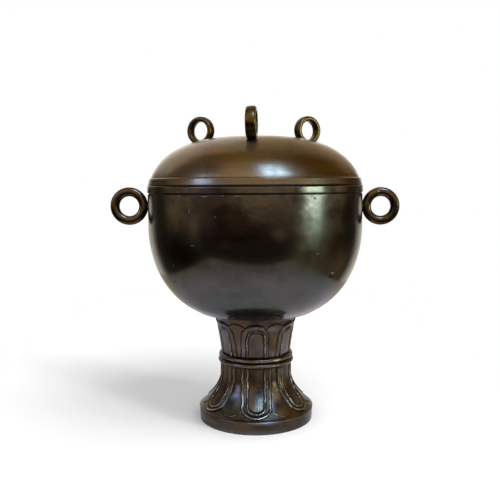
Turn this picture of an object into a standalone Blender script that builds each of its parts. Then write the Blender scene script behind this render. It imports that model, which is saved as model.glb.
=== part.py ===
"""Covered bronze dou: a domed lid with three rings, a deep round bowl with two ring handles, and a
lotus pedestal with a double ring at its waist.

Frame: metres, +Z up, origin under the centre of the foot. The front is -Y, the handles lie along X.
The named sizes below are in millimetres; MM turns them into metres when a mesh is made.
"""
import math

import bpy
from mathutils import Vector
from mathutils.geometry import delaunay_2d_cdt

MM = 0.001
TURNED_SEGMENTS = 40

# Bowl: a straight wall over a superelliptic belly with a flat turned underside.
BOWL_R = 90.45
BOWL_WALL = 3.2
BOWL_SPRING_Z = 166.8
BOWL_DEPTH = 79.4
BOWL_POWER = 2 / 2.83
BOWL_BASE_Z = 94.2
BOWL_BASE_EDGE = 1.2
BOWL_FLOOR_Z = 97.7
BOWL_STEPS = (8, 5)
RIM_BAND_R = 91.0
RIM_BAND_Z = 195.2
RIM_GROOVE_R = 90.1
RIM_GROOVE_HALF = 0.6
RIM_TOP_R = 90.5
RIM_TOP_Z = 201.0
LIP_INNER_R = 84.0
LIP_OUTER_R = 86.0
LIP_TOP_Z = 205.0
LIP_FOOT_Z = 194.0
LIP_BLEND_Z = 186.0

# Handles: plain upright rings in the XZ plane that touch the wall through a short root.
# The two were cast on by hand and stand about a millimetre apart in height.
HANDLE_X = 107.3
HANDLE_LEVELS = {1: 182.95, -1: 184.05}
HANDLE_OUTER_R = 16.1
HANDLE_BAR = (7.8, 7.4)
HANDLE_ROOT_R = 4.2
HANDLE_ROOT_X = (88.8, 94.0)

# Lid: a narrow upright band, a groove, and a low superelliptic dome.
LID_BOTTOM_Z = 201.4
LID_BAND_R = 90.0
LID_BAND_TOP_R = 89.2
LID_BAND_TOP_Z = 206.0
LID_GROOVE_R = 87.75
LID_DOME_R = 90.8
LID_DOME_Z = 191.3
LID_DOME_RISE = 50.4
LID_POWER = 2 / 3.05
LID_WALL = 3.1
LID_SEAT_R = 86.5
LID_SEAT_TOP_Z = 205.9
LID_STEPS = (7, 4)

# Lid rings: height, size, and for each ring its azimuth, its distance and the heading of its plane.
LID_RING_Z = 249.0
LID_RING_OUTER_R = 12.5
LID_RING_BAR = (4.8, 7.8)
LID_RING_PLACES = ((267.0, 53.0, 84.4), (28.9, 53.5, 31.5), (152.3, 53.4, 153.5))
LID_ROOT_R = 3.2
LID_ROOT_REACH = (-1.6, 2.0)

# Pedestal: two flares that meet in a double ring, over a plain foot band.
PEDESTAL_TOP_Z = 93.9
UPPER_REF_Z = 60.0
UPPER_REF_R = 29.15
UPPER_SLOPE = 0.135
UPPER_CURVE = 8.2e-5
LOWER_WAIST_Z = 41.0
LOWER_WAIST_R = 29.7
LOWER_CURVE = 0.0212
FOOT_SHOULDER_Z = 10.4
FOOT_BAND_R = 49.3
FOOT_EDGE = 0.4
TUBES = ((30.4, 51.5, 2.2), (30.0, 55.8, 2.05))
TUBE_ANGLES = (-42, 0, 42)
CREVICES = (49.2, 53.85, 57.8)
CREVICE_R = 29.9
PEDESTAL_WALL = 4.2
HOLLOW_FOOT_R = 45.2
HOLLOW_FOOT_Z = 8.0
HOLLOW_ROWS = (14, 22, 32, 44, 62, 78)

# Petals: six in front of six in each tier. Heights stand over the flare's own surface.
PETAL_COUNT = 6
HALF_SHARE = 180 // PETAL_COUNT
COLUMN_STEP = 6
RIM_HEIGHT = 1.0
PANEL_HEIGHT = 0.3
GROUND_DEPTH = -0.8
STEP_GAP = 0.3
ARC_STEPS = 4
BACK_STEPS = 4
# Each curve of a front petal: half width, spring height, tip height, height over the surface.
LOWER_ROOTS = (47.5, 41.0, 34.0, 26.5)
LOWER_CURVES = (
    (12.9, 18.5, 11.9, 0.0),
    (12.3, 18.5, 12.4, RIM_HEIGHT),
    (7.4, 20.5, 16.0, RIM_HEIGHT),
    (6.7, 20.8, 16.8, PANEL_HEIGHT),
)
LOWER_BACK = (10.3, 18.6, 12.6)
UPPER_ROOTS = (59.0, 64.0, 70.5)
UPPER_CURVES = (
    (12.5, 77.0, 88.0, 0.0),
    (11.9, 77.0, 87.4, RIM_HEIGHT),
    (7.6, 75.8, 82.4, RIM_HEIGHT),
    (6.9, 75.6, 81.5, PANEL_HEIGHT),
)
UPPER_BACK = (9.0, 81.0, 88.0)


def remove_everything():
    for thing in list(bpy.context.scene.objects):
        bpy.data.objects.remove(thing, do_unlink=True)


def bronze(name, colour, roughness):
    material = bpy.data.materials.new(name)
    material.use_nodes = True
    shader = material.node_tree.nodes["Principled BSDF"]
    shader.inputs["Base Color"].default_value = (*colour, 1.0)
    shader.inputs["Metallic"].default_value = 1.0
    shader.inputs["Roughness"].default_value = roughness
    material.diffuse_color = (*colour, 1.0)
    return material


def mesh_object(name, points, faces, material=None):
    mesh = bpy.data.meshes.new(name)
    mesh.from_pydata([Vector(p) * MM for p in points], [], faces)
    mesh.update()
    thing = bpy.data.objects.new(name, mesh)
    bpy.context.scene.collection.objects.link(thing)
    if material:
        mesh.materials.append(material)
    return thing


def turned(profile, segments=TURNED_SEGMENTS):
    """Points and faces of a profile of (r, z) that starts and ends on the axis, turned about Z."""
    points = []
    rows = []
    for r, z in profile:
        first = len(points)
        count = segments if r > 0 else 1
        for i in range(count):
            turn = 2 * math.pi * i / segments
            points.append((r * math.cos(turn), r * math.sin(turn), z))
        rows.append([first + i % count for i in range(segments)])
    faces = []
    for low, high in zip(rows, rows[1:]):
        for i in range(segments):
            j = (i + 1) % segments
            corners = [low[i], low[j], high[j], high[i]]
            faces.append(list(dict.fromkeys(corners)))
    return points, faces


def oval_ring(centre, axis, outer_r, bar, around, across=8):
    """A ring about an axis whose bar is a soft rectangle: bar holds its radial and axial sizes."""
    softness = 2 / 2.5
    half_radial, half_axial = bar[0] / 2, bar[1] / 2
    frame = axis.to_track_quat("Z", "Y").to_matrix()
    points = []
    for i in range(around):
        turn = 2 * math.pi * i / around
        for j in range(across):
            lean = 2 * math.pi * j / across
            c, s = math.cos(lean), math.sin(lean)
            reach = outer_r - half_radial + math.copysign(abs(c) ** softness, c) * half_radial
            rise = math.copysign(abs(s) ** softness, s) * half_axial
            local = Vector((reach * math.cos(turn), reach * math.sin(turn), rise))
            points.append(centre + frame @ local)
    faces = []
    for i in range(around):
        for j in range(across):
            k, m = (i + 1) % around, (j + 1) % across
            faces.append((i * across + j, k * across + j, k * across + m, i * across + m))
    return points, faces


def peg(start, end, radius, sides=12):
    """A short round peg between two points."""
    frame = (end - start).to_track_quat("Z", "Y").to_matrix()
    points = []
    for middle in (start, end):
        for i in range(sides):
            turn = 2 * math.pi * (i + 0.5) / sides
            points.append(middle + frame @ Vector((radius * math.cos(turn), radius * math.sin(turn), 0)))
    faces = [tuple(reversed(range(sides))), tuple(range(sides, 2 * sides))]
    for i in range(sides):
        j = (i + 1) % sides
        faces.append((i, j, sides + j, sides + i))
    return points, faces


def unite(body, name, shells):
    """Join separate closed shells to a body as one casting."""
    points = []
    faces = []
    for shell_points, shell_faces in shells:
        first = len(points)
        points += shell_points
        faces += [[first + i for i in face] for face in shell_faces]
    tool = mesh_object(name, points, faces)
    tool.hide_render = True
    tool.display_type = "WIRE"
    union = body.modifiers.new(name, "BOOLEAN")
    union.operation = "UNION"
    union.solver = "EXACT"
    union.object = tool


def belly(radius, depth, last_z, steps):
    """Superelliptic belly from its springing down to a level, as (r, z) points."""
    end = math.asin((BOWL_SPRING_Z - last_z) / depth)
    turns = [end * i / steps for i in range(steps + 1)]
    return [(radius * math.cos(t) ** BOWL_POWER, BOWL_SPRING_Z - depth * math.sin(t)) for t in turns]


def make_bowl(material):
    outside = belly(BOWL_R, BOWL_DEPTH, BOWL_BASE_Z + BOWL_BASE_EDGE, BOWL_STEPS[0])
    base_r = outside[-1][0] - 2.4 * BOWL_BASE_EDGE
    inside = belly(BOWL_R - BOWL_WALL, BOWL_DEPTH - BOWL_WALL, BOWL_FLOOR_Z, BOWL_STEPS[1])
    groove_z = RIM_BAND_Z - RIM_GROOVE_HALF
    rim = [
        (BOWL_R, groove_z - RIM_GROOVE_HALF),
        (RIM_GROOVE_R, groove_z),
        (RIM_BAND_R, RIM_BAND_Z),
        (RIM_TOP_R, RIM_TOP_Z),
        (LIP_OUTER_R, RIM_TOP_Z),
        (LIP_OUTER_R, LIP_TOP_Z),
        (LIP_INNER_R, LIP_TOP_Z),
        (LIP_INNER_R, LIP_FOOT_Z),
        (BOWL_R - BOWL_WALL, LIP_BLEND_Z),
    ]
    profile = [(0, BOWL_BASE_Z), (base_r, BOWL_BASE_Z)]
    profile += outside[::-1] + rim + inside + [(0, BOWL_FLOOR_Z)]
    bowl = mesh_object("bowl", *turned(profile), material)
    rings = []
    roots = []
    for side in (1, -1):
        level = HANDLE_LEVELS[side]
        centre = Vector((side * HANDLE_X, 0, level))
        rings.append(oval_ring(centre, Vector((0, 1, 0)), HANDLE_OUTER_R, HANDLE_BAR, 20))
        start, end = [Vector((side * x, 0, level)) for x in HANDLE_ROOT_X]
        roots.append(peg(start, end, HANDLE_ROOT_R))
    unite(bowl, "handle_rings", rings)
    unite(bowl, "handle_roots", roots)
    return bowl


def dome(radius, rise, start_r, steps):
    """Superelliptic dome from a radius up to the crown, as (r, z) points that end on the axis."""
    start = math.asin((start_r / radius) ** (1 / LID_POWER))
    turns = [start * (1 - i / steps) for i in range(steps)]
    points = [(radius * math.sin(t) ** LID_POWER, LID_DOME_Z + rise * math.cos(t)) for t in turns]
    return points + [(0, LID_DOME_Z + rise)]


def dome_height(r):
    return LID_DOME_Z + LID_DOME_RISE * math.sqrt(1 - (r / LID_DOME_R) ** (2 / LID_POWER))


def make_lid(material):
    inner_start = LID_SEAT_R - 2.0
    inside = dome(LID_DOME_R - LID_WALL, LID_DOME_RISE - LID_WALL, inner_start, LID_STEPS[1])
    outside = dome(LID_DOME_R, LID_DOME_RISE, LID_GROOVE_R, LID_STEPS[0])
    band = [
        (LID_SEAT_R, LID_SEAT_TOP_Z),
        (LID_SEAT_R, LID_BOTTOM_Z),
        (LID_BAND_R, LID_BOTTOM_Z),
        (LID_BAND_R, LID_BOTTOM_Z + 1.6),
        (LID_BAND_TOP_R, LID_BAND_TOP_Z),
        (LID_GROOVE_R, LID_BAND_TOP_Z),
    ]
    profile = inside[::-1] + band + outside
    lid = mesh_object("lid", *turned(profile), material)
    rings = []
    roots = []
    for azimuth, distance, heading in LID_RING_PLACES:
        slope = (dome_height(distance + 1) - dome_height(distance - 1)) / 2
        out = Vector((math.cos(math.radians(azimuth)), math.sin(math.radians(azimuth)), 0))
        along = Vector((math.cos(math.radians(heading)), math.sin(math.radians(heading)), 0))
        centre = out * distance + Vector((0, 0, LID_RING_Z))
        axis = along.cross(Vector((0, 0, 1)))
        rings.append(oval_ring(centre, axis, LID_RING_OUTER_R, LID_RING_BAR, 16))
        normal = (Vector((0, 0, 1)) - out * slope).normalized()
        foot = centre - normal * LID_RING_OUTER_R
        roots.append(peg(foot + normal * LID_ROOT_REACH[0], foot + normal * LID_ROOT_REACH[1], LID_ROOT_R))
    unite(lid, "lid_rings", rings)
    unite(lid, "lid_roots", roots)
    return lid


def flare(z):
    """Radius of the pedestal's surface at a height, petals apart."""
    if z > CREVICES[1]:
        rise = z - UPPER_REF_Z
        return UPPER_REF_R + UPPER_SLOPE * rise + UPPER_CURVE * rise ** 3
    return LOWER_WAIST_R + LOWER_CURVE * max(0.0, LOWER_WAIST_Z - z) ** 2


class Net:
    """Points and lines on the pedestal's unrolled surface, over half of one petal's share."""

    def __init__(self):
        self.points = []
        self.lines = []
        self.places = {}

    def add(self, turn, z, r):
        key = (round(turn, 5), round(z, 4))
        if key not in self.places:
            self.places[key] = len(self.points)
            self.points.append((turn, z, r))
        return self.places[key]

    def line(self, points):
        names = [self.add(*p) for p in points]
        self.lines += [pair for pair in zip(names, names[1:]) if pair[0] != pair[1]]

    def edge(self, turn):
        """Tie all the points at one turn into a line."""
        names = [i for i, p in enumerate(self.points) if abs(p[0] - turn) < 1e-6]
        names.sort(key=lambda i: self.points[i][1])
        self.lines += list(zip(names, names[1:]))

    def triangles(self):
        flat = [Vector((math.radians(p[0]) * LOWER_WAIST_R * 1.2, p[1])) for p in self.points]
        result = delaunay_2d_cdt(flat, self.lines, [], 0, 1e-5)
        names = [sources[0] for sources in result[3]]
        return [[names[i] for i in face] for face in result[2]]


def row(net, z, r):
    net.line([(turn, z, r) for turn in range(0, HALF_SHARE + 1, COLUMN_STEP)])


def on_surface(width, z, height):
    r = flare(z)
    return (math.degrees(width / r), z, r + height)


def front_point(curve, part, height):
    """A point on the round end of a front petal's curve: part runs from 0 at the spring to 1."""
    width, spring, tip, _ = curve
    turn = part * math.pi / 2
    return on_surface(width * math.cos(turn), spring + (tip - spring) * math.sin(turn), height)


def back_point(back, part, height, shift=0.0):
    """The same for the petal behind, which is centred on the far edge of the share."""
    width, spring, tip = back
    turn = part * math.pi / 2
    angle, z, r = on_surface(width * math.cos(turn), spring + (tip - spring) * math.sin(turn) + shift, height)
    return (HALF_SHARE - angle, z, r)


def meeting_part(curve, back):
    """Where the front petal's edge crosses the edge of the petal behind, as a part of its round end."""
    low, high = 0.0, 1.0
    for _ in range(40):
        middle = (low + high) / 2
        turn, z, _ = front_point(curve, middle, 0)
        rise = min(1.0, max(0.0, (z - back[1]) / (back[2] - back[1])))
        behind = HALF_SHARE - math.degrees(back[0] * math.sqrt(1 - rise * rise) / flare(z))
        low, high = (middle, high) if turn > behind else (low, middle)
    return low


def petal_tier(net, roots, curves, back):
    """One tier of petals: nested curves of the front petal, and the petal behind it."""
    foot = curves[0]
    towards_root = math.copysign(STEP_GAP, foot[1] - foot[2])
    meet = meeting_part(foot, back)
    arc_length = abs(foot[2] - foot[1]) * math.pi / 2
    nudge = 1.6 * STEP_GAP / arc_length
    parts = [i / ARC_STEPS for i in range(ARC_STEPS + 1)]
    foot_parts = [p for p in parts if abs(p - meet) > 2.5 * nudge] + [meet - nudge, meet + nudge]
    for curve in curves:
        width, _, _, height = curve
        line = [on_surface(width, z, height) for z in roots]
        for part in sorted(foot_parts) if curve is foot else parts:
            beyond = curve is foot and part > meet
            line.append(front_point(curve, part, GROUND_DEPTH if beyond else height))
        net.line(line)
    net.line([(0, z, flare(z) + PANEL_HEIGHT) for z in (*roots, curves[-1][1])])
    meet_z = front_point(foot, meet, 0)[1]
    start = math.asin(max(0.0, (meet_z - back[1]) / (back[2] - back[1]))) / (math.pi / 2)
    for height, sign in ((0.0, -1), (GROUND_DEPTH, 1)):
        line = [front_point(foot, meet + sign * nudge, height)]
        for i in range(1, BACK_STEPS + 1):
            part = start + (1 - start) * i / BACK_STEPS
            line.append(back_point(back, part, height, -sign * towards_root))
        net.line(line)
    for z in (*roots, foot[1], back[1]):
        net.add(HALF_SHARE, z, flare(z))


def half_share():
    """Net over half of one petal's share, from the foot's edge to the top."""
    net = Net()
    row(net, 0.0, FOOT_BAND_R - FOOT_EDGE)
    row(net, FOOT_EDGE, FOOT_BAND_R)
    row(net, FOOT_SHOULDER_Z, flare(FOOT_SHOULDER_Z) + GROUND_DEPTH / 2)
    petal_tier(net, LOWER_ROOTS, LOWER_CURVES, LOWER_BACK)
    row(net, CREVICES[0], CREVICE_R)
    for (tube_r, tube_z, bar), crevice in zip(TUBES, CREVICES[1:]):
        for angle in TUBE_ANGLES:
            lean = math.radians(angle)
            row(net, tube_z + bar * math.sin(lean), tube_r + bar * math.cos(lean))
        row(net, crevice, min(CREVICE_R, flare(crevice)))
    petal_tier(net, UPPER_ROOTS, UPPER_CURVES, UPPER_BACK)
    row(net, PEDESTAL_TOP_Z, flare(PEDESTAL_TOP_Z))
    net.edge(0)
    net.edge(HALF_SHARE)
    return net


def hollow_profile():
    rows = [(HOLLOW_FOOT_R, 0.0), (HOLLOW_FOOT_R, HOLLOW_FOOT_Z)]
    rows += [(flare(z) - PEDESTAL_WALL, z) for z in HOLLOW_ROWS]
    return rows + [(flare(PEDESTAL_TOP_Z) - PEDESTAL_WALL, PEDESTAL_TOP_Z)]


def make_pedestal(material):
    net = half_share()
    share = net.triangles()
    points = []
    places = {}

    def place(azimuth, z, r, skin):
        key = (round(azimuth % 360, 4) % 360, round(z, 4), skin)
        if key not in places:
            places[key] = len(points)
            turn = math.radians(azimuth)
            points.append((r * math.cos(turn), r * math.sin(turn), z))
        return places[key]

    faces = []
    for petal in range(PETAL_COUNT):
        centre = -90 + petal * 360 / PETAL_COUNT
        for side in (1, -1):
            for face in share:
                corners = [place(centre + side * t, z, r, "out") for t, z, r in (net.points[i] for i in face)]
                faces.append(corners[::side])
    rings = []
    for r, z in hollow_profile():
        rings.append([place(-90 + i * COLUMN_STEP, z, r, "in") for i in range(360 // COLUMN_STEP)])
    foot_edge = [place(-90 + i * COLUMN_STEP, 0.0, 0, "out") for i in range(360 // COLUMN_STEP)]
    top_edge = [place(-90 + i * COLUMN_STEP, PEDESTAL_TOP_Z, 0, "out") for i in range(360 // COLUMN_STEP)]
    rings = [foot_edge] + rings + [top_edge]
    for low, high in zip(rings, rings[1:]):
        for i in range(len(low)):
            j = (i + 1) % len(low)
            faces.append((low[j], low[i], high[i], high[j]))
    return mesh_object("pedestal", points, faces, material)


remove_everything()
make_lid(bronze("lid_bronze", (0.115, 0.078, 0.045), 0.33))
make_bowl(bronze("bowl_bronze", (0.062, 0.047, 0.034), 0.30))
make_pedestal(bronze("pedestal_bronze", (0.085, 0.068, 0.048), 0.42))
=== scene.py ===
import math

import bmesh
import bpy
import numpy as np
from mathutils import Euler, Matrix, Quaternion, Vector, noise


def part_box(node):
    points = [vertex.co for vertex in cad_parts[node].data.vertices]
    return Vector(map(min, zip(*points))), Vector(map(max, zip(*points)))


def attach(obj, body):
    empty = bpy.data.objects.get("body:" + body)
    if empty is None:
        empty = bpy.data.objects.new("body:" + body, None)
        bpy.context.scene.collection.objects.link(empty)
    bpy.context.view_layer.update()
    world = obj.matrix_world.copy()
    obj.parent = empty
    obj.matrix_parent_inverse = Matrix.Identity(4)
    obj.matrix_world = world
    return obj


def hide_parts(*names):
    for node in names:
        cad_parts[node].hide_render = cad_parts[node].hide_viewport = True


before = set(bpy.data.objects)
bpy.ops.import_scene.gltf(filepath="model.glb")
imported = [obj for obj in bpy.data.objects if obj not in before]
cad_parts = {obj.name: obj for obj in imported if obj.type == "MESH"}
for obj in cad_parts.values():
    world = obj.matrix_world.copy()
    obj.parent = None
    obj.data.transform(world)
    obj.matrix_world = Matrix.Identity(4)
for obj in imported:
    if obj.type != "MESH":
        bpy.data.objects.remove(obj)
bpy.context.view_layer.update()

MM = 0.001

# ---------------------------------------------------------------- sizes, in millimetres
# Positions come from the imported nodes' boxes; these are the shapes between them.
BOWL_LOW, BOWL_HIGH = [Vector(c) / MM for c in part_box("bowl")]
LID_LOW, LID_HIGH = [Vector(c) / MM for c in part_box("lid")]
_, FOOT_HIGH = [Vector(c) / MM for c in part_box("pedestal")]

TURNED_SEGMENTS = 256
TURNED_DRIFT = 0.10
SHARP_DEGREES = 42

# Bowl: a straight wall over a superelliptic belly with a flat underside.
BOWL_R = 90.45
BOWL_WALL = 3.2
BOWL_BASE_Z = BOWL_LOW.z
BOWL_BASE_EDGE = 0.9
BOWL_FLOOR_Z = 97.7
BELLY_SPRING_Z = 166.8
BELLY_DEPTH = 79.4
BELLY_POWER = 2 / 2.83

# Rim: a groove, a band that stands a little proud, a seam bead under the lid, and an inner lip.
GROOVE_Z = 194.8
GROOVE_DEPTH = 0.7
BAND_R = BOWL_R + 0.5
BAND_Z = (195.6, 199.8)
RIM_Z = 201.0
SEAM_R = (86.05, 89.65)
SEAM_Z = LID_LOW.z - 0.06
LIP_R = (84.0, 86.0)
LIP_TOP_Z = 205.0
LIP_FOOT_Z = 194.0
LIP_BLEND_Z = 186.0

# Handles: the two were cast on by hand and stand about a millimetre apart in height.
# A bar is its radial and axial size, and a root its radius, flare, height and how far it is sunk.
HANDLE_OUTER_R = 16.1
HANDLE_BAR = (7.8, 7.4)
HANDLE_SOFTNESS = 2.35
HANDLE_STEPS = (112, 40)
HANDLE_ROOT = (2.9, 1.5, 4.0, 1.4)
HANDLE_X = BOWL_HIGH.x - HANDLE_OUTER_R
HANDLE_LEVELS = {1: 182.95, -1: 184.05}

# Lid: a narrow band under a low superelliptic dome.
LID_WALL = 3.1
LID_SEAT_R = 86.5
LID_SEAT_TOP_Z = 205.2
LID_INNER_R = 84.4
LID_BAND_R = 90.0
LID_GROOVE_Z = 207.3
LID_GROOVE_R = 87.4
DOME_R = 90.8
DOME_RISE = 50.4
DOME_FOOT_Z = 191.3
DOME_POWER = 2 / 3.05

# Lid rings: azimuth, distance from the axis and the heading of each ring's plane.
LID_RING_OUTER_R = 12.5
LID_RING_BAR = (4.6, 8.2)
LID_RING_SOFTNESS = 3.0
LID_RING_STEPS = (96, 40)
LID_RING_ROOT = (2.5, 1.3, 2.0, 1.2)
LID_RING_Z = LID_HIGH.z - LID_RING_OUTER_R
LID_RING_PLACES = ((267.0, 53.0, 84.4), (28.9, 53.5, 31.5), (152.3, 53.4, 153.5))

# Pedestal: a nearly straight upper part and a lower part that flares out to the foot.
PEDESTAL_TOP_Z = FOOT_HIGH.z
PEDESTAL_WALL = 4.2
FOOT_R = FOOT_HIGH.x
UPPER_REF_Z = 60.0
UPPER_REF_R = 29.15
UPPER_SLOPE = 0.135
UPPER_CURVE = 8.2e-5
LOWER_WAIST_Z = 41.0
LOWER_WAIST_R = 29.7
LOWER_CURVE = 0.0212


def new_object(name, mesh, node):
    thing = bpy.data.objects.new(name, mesh)
    bpy.context.scene.collection.objects.link(thing)
    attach(thing, "root")
    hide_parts(node)
    return thing


def mesh_from(name, points, faces):
    """A mesh in metres from points in millimetres."""
    mesh = bpy.data.meshes.new(name)
    mesh.from_pydata((np.asarray(points, dtype=float) * MM).tolist(), [], faces)
    mesh.update()
    return mesh


# ---------------------------------------------------------------- turned bodies
HOLD = 0.2


def rounded(corners, steps=5):
    """A polyline of (r, z) from corners of (r, z, radius), each corner rounded by its radius.

    A point at HOLD from each end of a round keeps the faces beside it flat.
    """
    points = []
    for i, (r, z, radius) in enumerate(corners):
        here = Vector((r, z))
        if radius <= 0 or i in (0, len(corners) - 1):
            points.append((r, z))
            continue
        back = Vector(corners[i - 1][:2]) - here
        on = Vector(corners[i + 1][:2]) - here
        half = back.angle(on) / 2
        cut = min(radius / math.tan(half), 0.48 * back.length, 0.48 * on.length)
        start, end = here + back.normalized() * cut, here + on.normalized() * cut
        if back.length - cut > 4 * HOLD:
            points.append(tuple(start + back.normalized() * HOLD))
        for k in range(steps + 1):
            t = k / steps
            points.append(tuple(start * (1 - t) ** 2 + here * 2 * t * (1 - t) + end * t ** 2))
        if on.length - cut > 4 * HOLD:
            points.append(tuple(end + on.normalized() * HOLD))
    return points


def spaced(points, longest):
    """Adds points so that no stretch of the polyline is longer than the given length."""
    out = [points[0]]
    for (r0, z0), (r1, z1) in zip(points, points[1:]):
        length = math.hypot(r1 - r0, z1 - z0)
        if length < 1e-4:
            continue
        count = max(1, math.ceil(length / longest))
        out += [(r0 + (r1 - r0) * k / count, z0 + (z1 - z0) * k / count) for k in range(1, count + 1)]
    return out


def turned(name, profile, segments, drift):
    """A profile that starts and ends on the axis, turned about Z. drift is how far from true it runs."""
    points = []
    rows = []
    for r, z in profile:
        first = len(points)
        count = segments if r > 1e-6 else 1
        for i in range(count):
            turn = 2 * math.pi * i / segments
            x, y = r * math.cos(turn), r * math.sin(turn)
            if count > 1 and drift:
                sway = noise.noise(Vector((x, y, z * 1.6)) / 42) + 0.4 * noise.noise(Vector((x, y, z)) / 17)
                x += sway * drift * math.cos(turn)
                y += sway * drift * math.sin(turn)
            points.append((x, y, z))
        rows.append([first + i % count for i in range(segments)])
    faces = []
    for low, high in zip(rows, rows[1:]):
        for i in range(segments):
            j = (i + 1) % segments
            faces.append(list(dict.fromkeys((low[i], low[j], high[j], high[i]))))
    return mesh_from(name, points, faces)


# ---------------------------------------------------------------- rings
def oval_ring(centre, axis, outer_r, bar, softness, around, across):
    """A cast ring whose bar is a soft rectangle: bar holds its radial and axial sizes."""
    half_radial, half_axial = bar[0] / 2, bar[1] / 2
    turn_to = axis.to_track_quat("Z", "Y").to_matrix()
    points = []
    for i in range(around):
        turn = 2 * math.pi * i / around
        for j in range(across):
            lean = 2 * math.pi * j / across
            c, s = math.cos(lean), math.sin(lean)
            wander = 1 + 0.014 * noise.noise(Vector((math.cos(turn), math.sin(turn), lean)) * 2.2 + centre)
            reach = outer_r - half_radial + math.copysign(abs(c) ** (2 / softness), c) * half_radial
            rise = math.copysign(abs(s) ** (2 / softness), s) * half_axial * wander
            points.append(centre + turn_to @ Vector((reach * math.cos(turn), reach * math.sin(turn), rise)))
    faces = []
    for i in range(around):
        for j in range(across):
            k, m = (i + 1) % around, (j + 1) % across
            faces.append((i * across + j, k * across + j, k * across + m, i * across + m))
    return points, faces


def root_collar(base, normal, radius, flare, height, sunk, sides=48, steps=9):
    """A short round root on a wall at base: it spreads by flare where it meets the wall."""
    turn_to = normal.to_track_quat("Z", "Y").to_matrix()
    profile = [(radius + flare, -sunk)]
    for k in range(steps + 1):
        h = flare * k / steps
        profile.append((radius + flare - math.sqrt(flare ** 2 - (flare - h) ** 2), h))
    profile.append((radius, height))
    points = []
    for r, h in profile:
        for i in range(sides):
            turn = 2 * math.pi * i / sides
            points.append(base + turn_to @ Vector((r * math.cos(turn), r * math.sin(turn), h)))
    faces = [tuple(reversed(range(sides)))]
    for row in range(len(profile) - 1):
        for i in range(sides):
            j = (i + 1) % sides
            a, b = row * sides, (row + 1) * sides
            faces.append((a + i, a + j, b + j, b + i))
    last = (len(profile) - 1) * sides
    faces.append(tuple(range(last, last + sides)))
    return points, faces


def put_in_order(elements, place):
    """Sort vertices or faces by position, because the order that a Boolean leaves varies between runs."""
    ranks = {element: rank for rank, element in enumerate(sorted(elements, key=place))}
    elements.sort(key=ranks.get)


def united(name, body, groups):
    """The body's mesh with groups of separate closed shells joined to it as one casting."""
    host = bpy.data.objects.new(name + "_blank", body)
    bpy.context.scene.collection.objects.link(host)
    tools = []
    for index, shells in enumerate(groups):
        points = []
        faces = []
        for shell_points, shell_faces in shells:
            first = len(points)
            points += [tuple(p) for p in shell_points]
            faces += [[first + i for i in face] for face in shell_faces]
        tool = bpy.data.objects.new(f"{name}_tool_{index}", mesh_from(name + "_tool", points, faces))
        bpy.context.scene.collection.objects.link(tool)
        joined = host.modifiers.new("join", "BOOLEAN")
        joined.operation = "UNION"
        joined.solver = "EXACT"
        joined.object = tool
        tools.append(tool)
    graph = bpy.context.evaluated_depsgraph_get()
    mesh = bpy.data.meshes.new_from_object(host.evaluated_get(graph))
    mesh.name = name
    for thing in (host, *tools):
        data = thing.data
        bpy.data.objects.remove(thing, do_unlink=True)
        bpy.data.meshes.remove(data)
    tidy = bmesh.new()
    tidy.from_mesh(mesh)
    put_in_order(tidy.verts, lambda vert: tuple(vert.co))
    bmesh.ops.remove_doubles(tidy, verts=tidy.verts, dist=0.004 * MM)
    put_in_order(tidy.faces, lambda face: tuple(face.calc_center_median()))
    bmesh.ops.triangulate(tidy, faces=[f for f in tidy.faces if len(f.verts) > 4])
    tidy.to_mesh(mesh)
    tidy.free()
    return mesh


def smooth(mesh, sharp_degrees):
    mesh.shade_smooth()
    mesh.set_sharp_from_angle(angle=math.radians(sharp_degrees))


def paint(mesh, name, values):
    """A value on each vertex, for the materials: how worn it is there, or how much grime with painted
    shade, patina cloud with painted highlight or painted shade it carries.
    """
    layer = mesh.attributes.new(name, "FLOAT", "POINT")
    layer.data.foreach_set("value", np.clip(values, 0, 1).astype(np.float32))


def vertex_table(mesh):
    table = np.empty(len(mesh.vertices) * 3)
    mesh.vertices.foreach_get("co", table)
    return table.reshape(-1, 3) / MM


def ease(low, high, value):
    t = np.clip((value - low) / (high - low), 0, 1)
    return t * t * (3 - 2 * t)


def ridge(value, centre, half):
    """A smooth bump of height one about a centre."""
    return 0.5 + 0.5 * np.cos(np.pi * np.clip((value - centre) / half, -1, 1))


def lines_at(z, lines):
    """Level lines of wear or grime: lines are (depth, height, half width)."""
    return sum(depth * ridge(z, level, half) for depth, level, half in lines)


def clouds_at(spots, places):
    """Soft clouds of patina: places are (turn from the front, height, half width, half height, depth)."""
    turn = np.degrees(np.arctan2(spots[:, 0], -spots[:, 1]))
    total = np.zeros(len(spots))
    for centre, level, across, up, depth in places:
        off = (turn - centre + 180) % 360 - 180
        total += depth * np.exp(-((off / across) ** 2) - ((spots[:, 2] - level) / up) ** 2)
    return total


# ---------------------------------------------------------------- bowl
# Clouds in the patina: turn from the front in degrees, height, half width in degrees, half height, depth.
BOWL_STAINS = (
    (-6, 168, 14, 8, 0.75),
    (-13, 184, 9, 8, 0.50),
    (22, 164, 5, 9, 0.40),
    (50, 180, 8, 10, 0.50),
    (42, 158, 6, 14, 0.55),
    (-41, 149, 10, 10, 0.70),
    (3, 196, 30, 3, 0.20),
)
BOWL_BLOOMS = (
    (-45, 177, 9, 11, 0.50),
    (-30, 170, 4, 9, 0.36),
    (-31, 158, 6, 6, 0.42),
    (-22, 147, 6, 5, 0.22),
    (-14, 158, 4, 4, 0.30),
    (10, 165, 4, 5, 0.62),
    (17, 149, 8, 8, 0.22),
    (27, 198, 6, 3, 0.30),
)
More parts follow.
